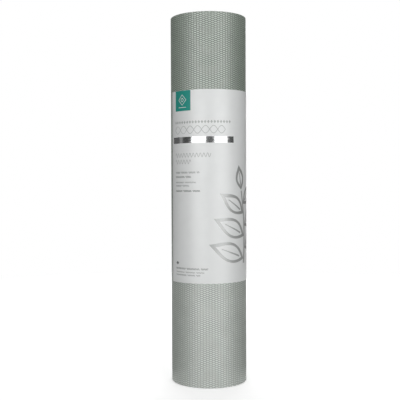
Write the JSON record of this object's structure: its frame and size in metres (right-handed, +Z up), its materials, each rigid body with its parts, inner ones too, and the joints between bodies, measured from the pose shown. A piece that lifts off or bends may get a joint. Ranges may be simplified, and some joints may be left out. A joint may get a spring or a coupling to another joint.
{
  "type": "rolled yoga mat",
  "caption": "Long foam exercise mat wound into a hollow upright roll, with a printed card wrapped round its middle and open at the back.",
  "frame": {"origin": "centre of the bounding box's base, on the plane that the roll stands on", "axes": "+Z up along the roll's axis; the side that the picture shows faces -Y, and the sheet's outer end is at the back, +Y"},
  "size_m": [0.1278, 0.1324, 0.61],
  "materials": {
    "face_foam": "matte",
    "reverse_foam": "matte",
    "scrim": "matte",
    "white_card": "satin",
    "clear_tape": "satin"
  },
  "bodies": {
    "mat_roll": {"face_foam_layer": "face_foam", "reinforcing_scrim": "scrim", "reverse_foam_layer": "reverse_foam"},
    "card": {"card_wrap": "white_card", "edge_tape": "clear_tape", "back_tape": "clear_tape"}
  },
  "joints": [
    {"name": "card_slide", "type": "slide", "parent": "mat_roll", "child": "card", "axis": [0, 0, 1], "range_m": [-0.17, 0.445]}
  ]
}
